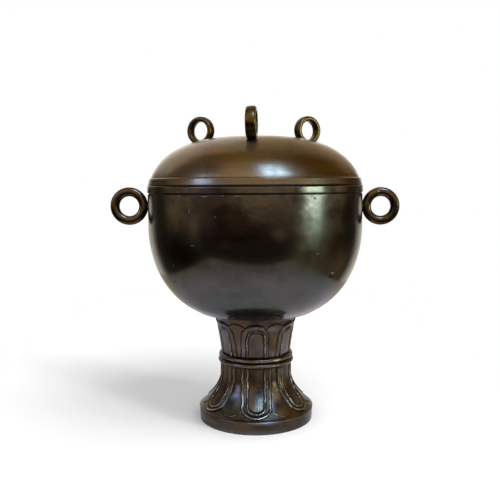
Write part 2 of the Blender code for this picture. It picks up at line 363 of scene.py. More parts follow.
# Single scratches: turn from the front, height, half width and half height in millimetres.
BOWL_SCRATCHES = (
    (-33, 182.5, 0.24, 2.4),
    (-32, 157.0, 1.9, 0.18),
    (-19, 178.5, 0.5, 0.30),
    (-47, 140.0, 0.4, 0.8),
    (-8.7, 193.8, 2.3, 0.16),
    (-15.5, 193.8, 1.1, 0.16),
    (-24.4, 193.3, 2.6, 0.20),
    (-39.5, 193.9, 2.0, 0.14),
    (44, 134.0, 1.3, 0.7),
    (31, 150.5, 0.28, 0.5),
)
BOWL_PITS = (
    (-51, 126.5, 1.6, 1.0),
    (-47, 124.0, 0.9, 1.3),
    (-45, 122.5, 0.8, 0.6),
    (44, 131.0, 3.0, 1.0),
    (28.5, 191.5, 0.9, 0.7),
)
# Level lines round the rim: depth, height, half width.
# Black lines in the rim's groove and along the seam under the lid: grime and painted shade.
RIM_GRIME_AND_SHADE = ((1.1, GROOVE_Z, 1.1), (1.2, RIM_Z, 1.6))
RIM_WEAR = ((0.4, 196.2, 0.7), (0.62, 193.9, 0.7), (0.8, BAND_Z[1], 0.45))


def belly(radius, depth, last_z, steps):
    """Superelliptic belly from its springing down to a level, as (r, z) points."""
    end = math.asin((BELLY_SPRING_Z - last_z) / depth)
    turns = [end * i / steps for i in range(steps + 1)]
    return [(radius * math.cos(t) ** BELLY_POWER, BELLY_SPRING_Z - depth * math.sin(t)) for t in turns]


def belly_radius(z):
    """The bowl's outside radius at a height."""
    if z >= BELLY_SPRING_Z:
        return BOWL_R
    return BOWL_R * math.sqrt(1 - ((BELLY_SPRING_Z - z) / BELLY_DEPTH) ** 2) ** BELLY_POWER


def bowl_profile():
    """From the middle of the underside, up the wall, over the rim and down to the middle of the floor."""
    outside = belly(BOWL_R, BELLY_DEPTH, BOWL_BASE_Z + BOWL_BASE_EDGE, 64)
    base = rounded([
        (40.0, BOWL_BASE_Z, 0),
        (outside[-1][0] - BOWL_BASE_EDGE, BOWL_BASE_Z, 3.0),
        (*outside[-4], 0),
    ])
    groove_r = BOWL_R - GROOVE_DEPTH
    inner_r = BOWL_R - BOWL_WALL
    rim = rounded([
        (BOWL_R, 190.0, 0),
        (BOWL_R, GROOVE_Z - 0.5, 0.12),
        (groove_r, GROOVE_Z - 0.4, 0.1),
        (groove_r, GROOVE_Z + 0.5, 0.1),
        (BAND_R, BAND_Z[0], 0.15),
        (BAND_R, BAND_Z[1], 0.3),
        (BAND_R - 0.08, 200.4, 0.25),
        (BOWL_R - 0.6, RIM_Z, 0.1),
        (SEAM_R[1] + 0.1, RIM_Z, 0.1),
        (SEAM_R[1], SEAM_Z, 0.1),
        (SEAM_R[0], SEAM_Z, 0.1),
        (LIP_R[1], LIP_TOP_Z, 0.5),
        (LIP_R[0], LIP_TOP_Z, 0.5),
        (LIP_R[0], LIP_FOOT_Z, 2.5),
        (inner_r, LIP_BLEND_Z, 3.0),
        (inner_r, 168.0, 0),
    ])
    inside = belly(inner_r, BELLY_DEPTH - BOWL_WALL, BOWL_FLOOR_Z, 40)
    wall = base[:-1] + outside[-4::-1] + rim + inside[1:]
    return [(0, BOWL_BASE_Z)] + wall + [(0, BOWL_FLOOR_Z)]


def paint_bowl(mesh):
    spots = vertex_table(mesh)
    r = np.hypot(spots[:, 0], spots[:, 1])
    z = spots[:, 2]
    x = np.abs(spots[:, 0])
    y = spots[:, 1]
    level = np.where(spots[:, 0] > 0, HANDLE_LEVELS[1], HANDLE_LEVELS[-1])
    on_ring = (x > BOWL_R + 1.5) & (np.abs(y) < 5)
    # grime and painted shade: black lines in the rim's groove and along the seam under the lid, painted
    # shade round the handles' roots, and painted shade with a painted dark reflection of the neck where the
    # pedestal meets the base
    outer = ease(88.6, 89.4, r + np.where(z < 168, BOWL_R, 0)) * (r < 92)
    root = 1 - ease(1.0, 3.4, np.hypot(np.hypot(x - BOWL_R, y), z - level) - 2.6)
    neck = 1 - ease(41, 52, r + np.where(z < 104, 0, BOWL_R))
    paint(mesh, "grime_and_shade", outer * lines_at(z, RIM_GRIME_AND_SHADE) + 0.7 * root + 0.75 * neck)
    # wear on the rings' crests and on the rim's edges
    from_ring = np.hypot(x - HANDLE_X, z - level)
    crest = ease(14.6, 16.2, from_ring) + 0.6 * (1 - ease(8.7, 9.8, from_ring))
    paint(mesh, "wear", np.where(on_ring, 0.12 + 0.42 * crest, lines_at(z, RIM_WEAR) * (r > 90)))
    paint(mesh, "ring", on_ring * 1.0)
    paint(mesh, "stain_and_shade", clouds_at(spots, BOWL_STAINS) * ~on_ring)
    paint(mesh, "bloom_and_highlight", clouds_at(spots, BOWL_BLOOMS) * ~on_ring)


def make_bowl():
    """The bowl and its two handles, as one casting."""
    mesh = turned("bowl", spaced(bowl_profile(), 3.2), TURNED_SEGMENTS, TURNED_DRIFT)
    rings = []
    roots = []
    for side, level in HANDLE_LEVELS.items():
        centre = Vector((side * HANDLE_X, 0, level))
        axis = Vector((0, 1, 0))
        rings.append(oval_ring(centre, axis, HANDLE_OUTER_R, HANDLE_BAR, HANDLE_SOFTNESS, *HANDLE_STEPS))
        base_spot = Vector((side * (BOWL_R - 0.05), 0, level))
        roots.append(root_collar(base_spot, Vector((side, 0, 0)), *HANDLE_ROOT))
    mesh = united("bowl", mesh, [rings, roots])
    smooth(mesh, SHARP_DEGREES)
    paint_bowl(mesh)
    return new_object("bowl_casting", mesh, "bowl")


# ---------------------------------------------------------------- lid
CROWN_Z = 228
# Level lines: depth, height, half width.
# Along the lid's groove: grime and painted shade. Along its lower edge over the bowl: painted shade of the
# seam.
LID_GRIME_AND_SHADE = ((0.3, LID_GROOVE_Z + 0.2, 0.9),)
LID_SEAM_SHADE = ((1.0, LID_LOW.z - 0.1, 1.1),)
LID_WEAR = ((0.35, LID_GROOVE_Z - 0.3, 0.5),)


def dome(radius, rise, start_r, steps):
    """Superelliptic dome from a radius up to the crown, as (r, z) points that end on the axis."""
    start = math.asin((start_r / radius) ** (1 / DOME_POWER))
    turns = [start * (1 - (i / steps) ** 0.8) for i in range(steps)]
    points = [(radius * math.sin(t) ** DOME_POWER, DOME_FOOT_Z + rise * math.cos(t)) for t in turns]
    return points + [(0, DOME_FOOT_Z + rise)]


def dome_height(r):
    return DOME_FOOT_Z + DOME_RISE * np.sqrt(np.maximum(0, 1 - (r / DOME_R) ** (2 / DOME_POWER)))


def lid_profile():
    """From the crown's inside, down to the seat, round the band and back up to the crown."""
    outside = dome(DOME_R, DOME_RISE, LID_GROOVE_R, 72)
    inside = dome(DOME_R - LID_WALL, DOME_RISE - LID_WALL, LID_INNER_R, 40)
    band = rounded([
        (LID_INNER_R, LID_SEAT_TOP_Z, 0),
        (LID_SEAT_R - 0.2, LID_SEAT_TOP_Z, 0.4),
        (LID_SEAT_R, LID_LOW.z, 0.2),
        (LID_BAND_R, LID_LOW.z, 0.3),
        (LID_BAND_R - 0.95, LID_GROOVE_Z - 0.8, 1.0),
        (LID_GROOVE_R + 0.75, LID_GROOVE_Z, 0.2),
        (LID_GROOVE_R + 0.15, LID_GROOVE_Z - 0.05, 0.15),
        (*outside[1], 0),
    ])
    return inside[::-1] + band + outside[2:]


def lid_rings():
    """The three rings and their roots, and each ring's centre and axis."""
    rings = []
    roots = []
    places = []
    for azimuth, distance, heading in LID_RING_PLACES:
        slope = float(dome_height(distance + 1) - dome_height(distance - 1)) / 2
        out = Vector((math.cos(math.radians(azimuth)), math.sin(math.radians(azimuth)), 0))
        along = Vector((math.cos(math.radians(heading)), math.sin(math.radians(heading)), 0))
        centre = out * distance + Vector((0, 0, LID_RING_Z))
        axis = along.cross(Vector((0, 0, 1)))
        rings.append(
            oval_ring(centre, axis, LID_RING_OUTER_R, LID_RING_BAR, LID_RING_SOFTNESS, *LID_RING_STEPS))
        normal = (Vector((0, 0, 1)) - out * slope).normalized()
        foot = centre - normal * (LID_RING_OUTER_R - 0.45)
        roots.append(root_collar(foot, normal, *LID_RING_ROOT))
        places.append((centre, axis))
    return rings, roots, places


def paint_lid(mesh, ring_places):
    spots = vertex_table(mesh)
    r = np.hypot(spots[:, 0], spots[:, 1])
    z = spots[:, 2]
    clear = z - dome_height(np.minimum(r, DOME_R - 0.1))
    crown = z > CROWN_Z
    on_ring = (clear > 1.2) & crown
    # grime and painted shade in the groove, and painted shade along the seam
    grime_and_shade = lines_at(z, LID_GRIME_AND_SHADE) * (r > 86.8) + lines_at(z, LID_SEAM_SHADE)
    grime_and_shade = np.where(z < LID_GROOVE_Z + 0.7, grime_and_shade, 0)
    wear = np.where(z < LID_GROOVE_Z + 0.2, lines_at(z, LID_WEAR) * (r > 88.0), 0)
    for centre, axis in ring_places:
        off = spots - np.array(centre)
        side = off @ np.array(axis)
        reach = np.sqrt(np.maximum(0, (off ** 2).sum(axis=1) - side ** 2))
        near = on_ring & (np.abs(side) < 6) & (reach < 14)
        crest = ease(11.3, LID_RING_OUTER_R, reach) + 0.5 * ease(2.6, 3.7, np.abs(side))
        wear = np.where(near, 0.12 + 0.32 * crest, wear)
        # painted shade, darker toward each ring's underside
        grime_and_shade = np.where(near, 0.25 * ease(0.0, 10.0, -off[:, 2]), grime_and_shade)
        from_root = np.hypot(reach, side)
        # painted shade round each ring's root on the dome
        at_root = ~on_ring & (from_root < 17) & crown
        grime_and_shade = np.where(at_root, np.maximum(grime_and_shade, 0.08 * (1 - ease(12.5, 15, from_root))), grime_and_shade)
    paint(mesh, "grime_and_shade", grime_and_shade)
    paint(mesh, "wear", wear)
    # dust lies in front of each ring's foot
    dusty = [(azimuth + 90, 230.8, 7, 3.6, 0.55) for azimuth, _, _ in LID_RING_PLACES]
    paint(mesh, "dust", clouds_at(spots, dusty) * ~on_ring)
    paint(mesh, "ring", on_ring * 1.0)


def make_lid():
    """The lid and its three rings, as one casting."""
    mesh = turned("lid", spaced(lid_profile(), 3.0), TURNED_SEGMENTS, TURNED_DRIFT)
    rings, roots, ring_places = lid_rings()
    mesh = united("lid", mesh, [rings, roots])
    smooth(mesh, SHARP_DEGREES)
    paint_lid(mesh, ring_places)
    return new_object("lid_casting", mesh, "lid")


# ---------------------------------------------------------------- pedestal
# Clouds in the patina, as on the bowl. Some of the blooms and pale clouds are painted highlights, and some
# of the stains painted shade, set where the flare mirrors the room.
PEDESTAL_BLOOMS_AND_HIGHLIGHTS = (
    (33, 15, 10, 6, 0.50),
    (58, 21, 10, 8, 0.25),
    (-17, 37, 6, 7, 0.50),
    (34, 72, 12, 10, 0.45),
    (34, 58, 5, 3, 1.00),
    (5, 21, 10, 5, 0.40),
    (32, 26, 7, 3, 0.80),
    (-36, 15, 8, 5, 0.35),
    (60, 70, 8, 14, 0.45),
    (17, 22, 5, 5, 0.40),
    (45, 16, 6, 5, 0.60),
    (-7, 14, 9, 4, 0.55),
    (8, 13, 8, 3, 0.55),
    (26, 14, 9, 3, 0.60),
    (26, 28, 8, 5, 0.45),
    (70, 24, 8, 8, 0.50),
)
# Pale clouds: a pale film, and painted highlights on ridges, on the waist, on the upper tier and along the
# foot band's top edge.
PEDESTAL_PALE_AND_HIGHLIGHTS = (
    (-65, 74, 22, 18, 1.00),
    (-20, 66, 16, 10, 0.40),
    (-10, 80, 10, 5, 0.30),
    (0, 83, 7, 2.5, 0.50),
    (25, 83, 12, 3, 0.40),
    (6, 72, 9, 14, 0.25),
    (17, 63, 7, 7, 0.50),
    (34, 56, 4, 2, 0.80),
    (48, 70, 10, 14, 0.62),
    (66, 72, 7, 16, 0.60),
    (-75, 46, 6, 6, 0.50),
    (-45, 19, 7, 5, 0.40),
    (-25, 22, 6, 6, 0.35),
    (-22, 12, 18, 3, 0.30),
    (8, 12, 13, 3, 0.45),
    (17, 22, 5, 5, 0.50),
    (35, 29, 5, 3, 0.60),
    (45, 45, 5, 3, 0.60),
    (44, 22, 8, 5, 0.35),
    (64, 18, 10, 6, 0.80),
    (-12, 1, 60, 3, 0.42),
    (10, 10, 14, 1.2, 0.50),
    (30, 60, 6, 4, 0.45),
    (62, 60, 12, 6, 0.45),
    (18, 31, 8, 4, 0.40),
    (70, 28, 8, 6, 0.50),
    (-35, 26, 5, 2.5, 0.50),
    (-62, 6, 30, 2.2, 0.26),
    (12, 6, 50, 2.0, 0.08),
)
# Dark stains, and painted shade where the flare would mirror a window.
PEDESTAL_STAINS_AND_SHADE = (
    (24, 37, 16, 5, 0.90),
    (-35, 33, 8, 6, 0.45),
    (27, 20, 6, 3, 0.40),
    (4, 22, 8, 3, 0.35),
    (-60, 9, 22, 3, 0.50),
    (-10, 55, 30, 3, 0.25),
    (0, 6, 30, 2, 0.15),
    (77, 68, 5, 16, 0.60),
    (-52, 31, 14, 6, 0.60),
    (-62, 14, 16, 4, 0.60),
    (-50, 54, 10, 3, 0.60),
    (16, 35, 5, 5, 0.30),
)
# Petals in a tier, and the columns of points over a front petal's half and over the gap beside it.
SECTORS = 6
MAIN_COLUMNS = 30
BACK_COLUMNS = 14
WAIST_Z = 53.8
FOOT_BAND_TOP = 10.4
# The two rings at the waist: radius and height of the bar's centre, and the bar's radius.
TUBES = ((30.4, 51.5, 2.2), (30.0, 55.8, 2.05))
# Outlines: half width, springing, tip and squareness of the round. The front petals share one width.
PETAL_HALF = 12.5
LOWER_PETAL = (18.5, 12.3, 1.9)
LOWER_PANEL = (7.4, 20.2, 15.2)
LOWER_BEHIND = (10.3, 18.6, 12.6)
UPPER_PETAL = (76.4, 86.9)
UPPER_PANEL = (7.6, 75.0, 81.4)
UPPER_BEHIND = (9.0, 80.4, 87.2)
# The flare's own surface shows between these heights: fade in from and to, fade out from and to.
LOWER_TIER = (10.2, 11.6, 48.9, 49.9)
UPPER_TIER = (57.4, 58.4, 89.3, 90.6)
# Level lines of grime and painted shade in the crevices beside the waist's rings and under the bowl: depth,
# height, half width.
CREVICES = ((1.0, 53.75, 0.8), (1.0, 49.2, 0.8), (1.0, 58.1, 0.9), (1.0, 93.6, 1.6))
HOLLOW_FOOT = (45.2, 7.0)
HOLLOW_LEVELS = (11, 15, 20, 26, 34, 44, 53, 62, 72, 82, PEDESTAL_TOP_Z)
# Rows of points up the outside: from, to, spacing. They are close where the carving turns.
ROW_BANDS = (
    (1.2, 9.4, 1.3),
    (9.4, 23.0, 0.36),
    (23.0, 48.2, 1.05),
    (48.2, 58.6, 0.27),
    (58.6, 73.0, 1.05),
    (73.0, 90.0, 0.40),
    (90.0, PEDESTAL_TOP_Z, 0.9),
)
# Half petals, by tier, petal and side, that are narrower than the rest; a negative value is wider.
NARROW_SIDES = {("upper", 0, 1): 2.2, ("upper", 5, 1): -0.8, ("upper", 1, -1): -0.6}


def flare(z):
    """Radius of the pedestal's surface at a height, petals apart."""
    rise = z - UPPER_REF_Z
    upper = UPPER_REF_R + UPPER_SLOPE * rise + UPPER_CURVE * rise ** 3
    lower = LOWER_WAIST_R + LOWER_CURVE * np.maximum(0, LOWER_WAIST_Z - z) ** 2
    return np.where(z > WAIST_Z, upper, lower)


def inside_of(u, z, half, spring, tip, point=2.0):
    """How far inside a U-shaped outline a spot is, in millimetres; negative outside."""
    beyond = (z - spring) / (tip - spring)
    a, b = np.abs(u) / half, np.maximum(beyond, 0)
    q = (a ** point + b ** point) ** (1 / point)
    slope_u = (a ** (point - 1)) / half
    slope_z = (b ** (point - 1)) / abs(tip - spring)
    steep = np.sqrt(slope_u ** 2 + slope_z ** 2) / np.maximum(q, 1e-6) ** (point - 1)
    round_part = (1 - q) / np.maximum(steep, 1e-3)
    return np.where(beyond <= 0, half - np.abs(u), np.where(q < 0.2, half * 0.8, round_part))


def lower_carving(d, e):
    """Height of a lower petal, for spots d inside its outline and e inside its panel's outline."""
    return (
        0.40
        + 0.75 * ridge(d, 0.85, 0.90)
        - 0.30 * ridge(d, 2.5, 1.2)
        + 0.70 * ridge(e, 0.2, 0.80)
        - 0.38 * ease(0.4, 1.3, e)
        + 0.26 * ease(2.0, 7.0, e)
    )


def upper_carving(d, e):
    """The same for an upper petal, whose border is one broad round band."""
    return (
        0.25
        + 0.62 * ridge(d, 1.9, 1.9)
        + 0.25 * ridge(d, 0.6, 0.6)
        - 0.45 * ridge(e, -0.95, 0.8)
        + 0.75 * ridge(e, 0.10, 0.62)
        - 0.35 * ease(0.4, 1.2, e)
        + 0.16 * ease(1.5, 6.0, e)
    )


def relief(main_u, back_u, z, trim, seed):
    """Height over the flare, wear, and grime with painted shade, from the arc offsets to the two petals'
    centre lines.

    seed differs from half petal to half petal, so that each is cut a little differently.
    """
    low = z < WAIST_Z
    waver = 0.22 * np.sin(z * 0.61 + seed * 2.3) + 0.13 * np.sin(z * 1.57 + seed * 5.1)
    main_u = main_u + waver * ease(2.0, 6.0, main_u)
    back_u = back_u + 0.8 * waver * ease(2.0, 6.0, back_u)
    # the front petals hang in front of the petals behind
    d = np.where(
        low,
        inside_of(main_u, z, PETAL_HALF, *LOWER_PETAL),
        inside_of(main_u, z, PETAL_HALF - trim, *UPPER_PETAL),
    )
    e = np.where(low, inside_of(main_u, z, *LOWER_PANEL), inside_of(main_u, z, *UPPER_PANEL))
    back = np.where(low, inside_of(back_u, z, *LOWER_BEHIND), inside_of(back_u, z, *UPPER_BEHIND))
    plate = ease(-0.35, 0.35, d)
    main = np.where(low, lower_carving(d, e), upper_carving(d, e))
    behind = -0.75 + (0.72 + 0.45 * ridge(back, 0.55, 0.60)) * ease(-0.35, 0.35, back)
    behind = behind - 0.30 * np.exp(-np.maximum(-d, 0) / 0.8)
    height = behind + (main - behind) * plate
    # cast flutes on the panels
    flutes = np.cos(main_u * 4.1 + 0.9 * np.sin(z * 0.35 + seed)) + 0.6 * np.cos(main_u * 7.3 + seed)
    on_panel = ease(1.0, 1.8, e)
    height = height + 0.08 * flutes * on_panel
    wear = (
        np.where(low, 1.15 * ridge(d, 0.85, 0.58), 0.62 * ridge(d, 1.7, 0.9)) * plate
        + np.where(low, 1.15 * ridge(e, 0.2, 0.52), 1.4 * ridge(e, 0.10, 0.55)) * plate
        + 0.8 * ridge(back, 0.55, 0.50) * (1 - plate)
    )
    # grime and painted shade in the outlines' grooves, along the panels' edges and in the flutes' hollows
    grime_and_shade = (
        1.2 * ridge(d, -0.45, 0.75)
        + np.where(low, 0.7 * ridge(d, 2.3, 0.9), 0.0) * plate
        + ridge(e, -1.0, 0.75) * plate
        + 0.9 * ridge(e, 1.25, 0.85) * plate
        + ridge(back, -0.45, 0.60) * (1 - plate)
        + 0.35 * np.clip(-flutes, 0, 1) * on_panel
    )
    return height, wear, grime_and_shade


def tier_fade(z):
    """1 on the two tiers of petals, 0 on the foot band, the waist and the plain strip at the top."""
    fade = 0
    for rise_from, rise_to, fall_from, fall_to in (LOWER_TIER, UPPER_TIER):
        fade = fade + ease(rise_from, rise_to, z) * (1 - ease(fall_from, fall_to, z))
    return fade


def foot_band(z):
    """Radius of the plain foot band, which leans in slightly and has a rounded lower edge."""
    lean = 0.05 * (FOOT_BAND_TOP - z) * (z > 0)
    edge = 0.5 * (1 - np.sqrt(np.clip(1 - (1 - z / 0.5) ** 2, 0, 1))) * (z < 0.5)
    return FOOT_R - lean - edge


def columns(level, base):
    """Azimuth, arc offsets from the front and back petals' centre lines, trim and seed of each column."""
    azimuths, main_u, back_u, trims, seeds = [], [], [], [], []
    tier = "lower" if level < WAIST_Z else "upper"
    sector = 180 / SECTORS
    flank = math.degrees((PETAL_HALF + 0.6) / base)
    inner = [flank * k / MAIN_COLUMNS for k in range(MAIN_COLUMNS + 1)]
    outer = [flank + (sector - flank) * k / BACK_COLUMNS for k in range(1, BACK_COLUMNS)]
    for petal in range(SECTORS):
        centre = -90 + petal * 360 / SECTORS
        for side in (-1, 1):
            trim = NARROW_SIDES.get((tier, petal, side), 0.0)
            turns = inner + outer
            if side < 0:
                turns = (inner[1:] + outer + [sector])[::-1]
            for turn in turns:
                azimuths.append(math.radians(centre + side * turn))
                main_u.append(math.radians(turn) * base)
                back_u.append(math.radians(sector - turn) * base)
                trims.append(trim)
                seeds.append(petal + 0.37 * side)
    return [np.array(v) for v in (azimuths, main_u, back_u, trims, seeds)]


def pedestal_row(level):
    """One level of the pedestal's outside: azimuths, radius, wear, and grime with painted shade at each
    column.
    """
    base = float(flare(np.array(level)))
    azimuths, main_u, back_u, trim, seed = columns(level, base)
    z = np.full_like(main_u, level)
    height, wear, grime_and_shade = relief(main_u, back_u, z, trim, seed)
    fade = tier_fade(z)
    radius = base + height * fade - 0.35 * ease(*UPPER_TIER[2:], z)
    into_band = 1 - ease(9.6, 10.9, z)
    band = np.minimum(foot_band(z), base + 3.25)
    radius = np.where(z < 11.2, radius * (1 - into_band) + band * into_band, radius)
    for tube_r, tube_z, bar in TUBES:
        lift = np.maximum(0, bar ** 2 - (z - tube_z) ** 2)
        radius = np.maximum(radius, np.where(lift > 0, tube_r + np.sqrt(lift), 0))
    crest = lines_at(z, [(1.0, tube_z, 1.1) for _, tube_z, _ in TUBES])
    wear = np.where(fade > 0, wear * fade, 0) + 0.75 * crest + 0.45 * ridge(z, 10.3, 0.8)
    # painted shade in the crevices beside the waist's rings and under the bowl
    grime_and_shade = np.where(fade > 0, grime_and_shade * fade, 0) + lines_at(z, CREVICES)
    return azimuths, radius, wear, grime_and_shade


def pedestal_levels():
    """Heights of the outside's rows, from the foot up."""
    levels = [0.0, 0.06, 0.2, 0.5]
    for start, end, step in ROW_BANDS:
        count = round((end - start) / step)
        levels += [start + (end - start) * k / count for k in range(count)]
    return levels + [PEDESTAL_TOP_Z]


def ring_of_points(radius, turns, level):
    return np.stack([radius * np.cos(turns), radius * np.sin(turns), np.full(len(turns), level)], axis=1)


def uneven(points):
    """The casting's slight unevenness, which dies out at the foot's edge and under the bowl."""
    sway = np.array([
        noise.noise(Vector(p) / 16) + 0.5 * noise.noise(Vector(p) / 6) + 0.6 * noise.noise(Vector(p) / 1.7)
        for p in points
    ])
    outward = points[:, :2] / np.hypot(points[:, 0], points[:, 1])[:, None]
    loose = ease(0.3, 3.0, points[:, 2]) * (1 - ease(91.5, 93.5, points[:, 2]))
    points[:, :2] += outward * (0.10 * sway * loose)[:, None]


def make_pedestal():
    """The lotus pedestal: rows of points up its outside and down its hollow, joined in one closed shell."""
    levels = pedestal_levels()
    rows = [pedestal_row(level) for level in levels]
    points = [ring_of_points(radius, turns, level) for level, (turns, radius, _, _) in zip(levels, rows)]
    wear = [row[2] for row in rows]
    grime_and_shade = [row[3] for row in rows]
    foot_turns, top_turns = rows[0][0], rows[-1][0]
    count = len(foot_turns)
    hollow = [(HOLLOW_FOOT[0], 0.0), HOLLOW_FOOT]
    hollow += [(float(flare(np.array(z))) - PEDESTAL_WALL, z) for z in HOLLOW_LEVELS]
    # the hollow's upper rows use the top row's columns, and its low rows those of the foot
    for radius, level in hollow[::-1]:
        turns = top_turns if level > 20 else foot_turns
        points.append(ring_of_points(radius, turns, level))
        wear.append(np.zeros(count))
        # painted shade inside the hollow
        grime_and_shade.append(np.full(count, 0.8))
    points = np.concatenate(points)
    uneven(points)
    ring_count = len(levels) + len(hollow)
    faces = []
    for row in range(ring_count):
        a, b = row * count, ((row + 1) % ring_count) * count
        faces += [(a + i, a + (i + 1) % count, b + (i + 1) % count, b + i) for i in range(count)]
    mesh = mesh_from("pedestal", points, faces)
    smooth(mesh, 60)
    paint(mesh, "wear", np.concatenate(wear))
    paint(mesh, "grime_and_shade", np.concatenate(grime_and_shade))
    paint(mesh, "bloom_and_highlight", clouds_at(points, PEDESTAL_BLOOMS_AND_HIGHLIGHTS))
    paint(mesh, "pale_and_highlight", clouds_at(points, PEDESTAL_PALE_AND_HIGHLIGHTS))
    paint(mesh, "stain_and_shade", clouds_at(points, PEDESTAL_STAINS_AND_SHADE))
    return new_object("pedestal_casting", mesh, "pedestal")


# ---------------------------------------------------------------- materials
class Nodes:
    """A small helper to wire shader nodes."""

    def __init__(self, tree):
        self.tree = tree
        self.tree.nodes.clear()

    def add(self, kind, sockets=(), **settings):
        node = self.tree.nodes.new(kind)
        for key, value in settings.items():
            setattr(node, key, value)
        for key, value in dict(sockets).items():
            self.put(node, key, value)
        return node

    def put(self, node, key, value):
        socket = node.inputs[key]
        if isinstance(value, bpy.types.NodeSocket):
            self.tree.links.new(value, socket)
        else:
            socket.default_value = value

    def math(self, operation, a, b=0.0, clamp=False):
        node = self.add("ShaderNodeMath", {0: a, 1: b}, operation=operation)
        node.use_clamp = clamp
        return node.outputs[0]

    def span(self, value, low, high, to_low=0.0, to_high=1.0):
        sockets = {"Value": value, "From Min": low, "From Max": high, "To Min": to_low, "To Max": to_high}
        return self.add("ShaderNodeMapRange", sockets, interpolation_type="SMOOTHSTEP").outputs[0]

    def mix(self, factor, a, b):
        node = self.add("ShaderNodeMix", data_type="RGBA")
        self.put(node, 0, factor)
        self.put(node, 6, a)
        self.put(node, 7, b)
        return node.outputs[2]

    def noise(self, place, scale, detail=3.0, roughness=0.55):
        sockets = {"Vector": place, "Scale": scale, "Detail": detail, "Roughness": roughness}
        return self.add("ShaderNodeTexNoise", sockets).outputs["Fac"]

    def marks(self, place, marks, radius):
        """1 on each small mark of (turn from the front, height, half width, half height), 0 elsewhere."""
        rough_edge = self.span(self.noise(place, 700, 2), 0.3, 0.7, 0.6, 1.5)
        total = 0.0
        for turn, height, half_width, half_height in marks:
            a = math.radians(turn)
            reach = radius(height)
            centre = (reach * math.sin(a) * MM, -reach * math.cos(a) * MM, height * MM)
            scale = (1 / (half_width * MM), 1 / (half_width * MM), 1 / (half_height * MM))
            off = self.add("ShaderNodeVectorMath", {0: place, 1: centre}, operation="SUBTRACT")
            off = self.add("ShaderNodeVectorMath", {0: off.outputs[0], 1: scale}, operation="MULTIPLY")
            length = self.add("ShaderNodeVectorMath", {0: off.outputs[0]}, operation="LENGTH")
            inside = self.math("LESS_THAN", length.outputs["Value"], rough_edge)
            total = self.math("MAXIMUM", inside, total)
        return total

    def attribute(self, name):
        return self.add("ShaderNodeAttribute", attribute_name=name).outputs["Fac"]


def rgb(r, g, b):
    return (r, g, b, 1.0)


BLACK = rgb(0.010, 0.008, 0.006)
# Colour of dark stains, also used for painted shade on the pedestal.
STAIN_AND_SHADE = rgb(0.034, 0.021, 0.017)
# Colour of the pale film, also used for painted highlights on the pedestal.
PALE_AND_HIGHLIGHT = rgb(0.20, 0.20, 0.205)
CRUMB = rgb(0.50, 0.46, 0.38)
BRASS = rgb(0.42, 0.31, 0.12)
TAN = rgb(0.26, 0.215, 0.16)

# Each casting's bronze: its two patina colours, the colours where it is worn, on its rings and in its
# light clouds and painted highlights, its least roughness, and the strength of its dark mottling, streaks,
# specks and bumps.
# Below the height calm_below, in metres, the mottling is weaker.
LID_BRONZE = {
    "brown": rgb(0.150, 0.095, 0.050),
    "olive": rgb(0.122, 0.096, 0.052),
    "worn": rgb(0.26, 0.20, 0.12),
    "ring": rgb(0.072, 0.045, 0.015),
    "bloom_and_highlight_colour": TAN,
    "gloss": 0.20,
    "mottling": 0.28,
    "streaks": 0.20,
    "specked": 0.6,
    "bumpy": 0.18,
}
BOWL_BRONZE = {
    "brown": rgb(0.094, 0.087, 0.079),
    "olive": rgb(0.076, 0.085, 0.073),
    "worn": TAN,
    "ring": rgb(0.074, 0.053, 0.030),
    "bloom_and_highlight_colour": rgb(0.235, 0.25, 0.19),
    "gloss": 0.14,
    "mottling": 0.75,
    "streaks": 0.06,
    "specked": 0.9,
    "bumpy": 0.13,
    "calm_below": 0.13,
    "scratches": BOWL_SCRATCHES,
    "pits": BOWL_PITS,
}
PEDESTAL_BRONZE = {
    "brown": rgb(0.080, 0.057, 0.034),
    "olive": rgb(0.062, 0.051, 0.031),
    "worn": rgb(0.58, 0.50, 0.345),
    "ring": BLACK,
    "bloom_and_highlight_colour": rgb(0.16, 0.120, 0.06),
    "gloss": 0.26,
    "mottling": 0.85,
    "streaks": 0.0,
    "specked": 1.0,
    "bumpy": 0.42,
}


def patina(n, place, patches, bloom_and_highlight, look):
    """The patina before marks and wear: clouds, rings, mottling, a pale film and blooms with painted
    highlights, and stains with painted shade.
    """
    clouds = n.noise(place, 19, 4)
    colour = n.mix(n.span(clouds, 0.38, 0.62), look["brown"], look["olive"])
    colour = n.mix(n.attribute("ring"), colour, look["ring"])
    height = n.add("ShaderNodeSeparateXYZ", {0: place}).outputs["Z"]
    calm_below, mottling = look.get("calm_below", -1.0), look["mottling"]
    mottle = n.span(height, calm_below, calm_below + 0.03, 0.3 * mottling, mottling)
    drawn = n.add("ShaderNodeMapping", {"Vector": place, "Scale": (0.22, 0.22, 2.4)}).outputs[0]
    rubbed = n.noise(drawn, 95, 3, 0.6)
    dark = n.math("MULTIPLY", n.span(patches, 0.42, 0.70), mottle)
    dark = n.math("ADD", dark, n.math("MULTIPLY", n.span(rubbed, 0.42, 0.68), look["streaks"]), True)
    colour = n.mix(dark, colour, BLACK)
    # the pale film, which on the pedestal also carries painted highlights
    pale_and_highlight = n.attribute("pale_and_highlight")
    pale_and_highlight = n.math("MULTIPLY", pale_and_highlight, n.span(n.math("ADD", pale_and_highlight, patches), 0.45, 0.95))
    colour = n.mix(pale_and_highlight, colour, PALE_AND_HIGHLIGHT)
    # blooms, which on the pedestal also carry painted highlights
    colour = n.mix(bloom_and_highlight, colour, look["bloom_and_highlight_colour"])
    # stains, which on the pedestal also carry painted shade
    stain_and_shade = n.span(n.math("ADD", n.attribute("stain_and_shade"), patches), 0.60, 1.10, 0.0, 0.85)
    return n.mix(stain_and_shade, colour, STAIN_AND_SHADE)


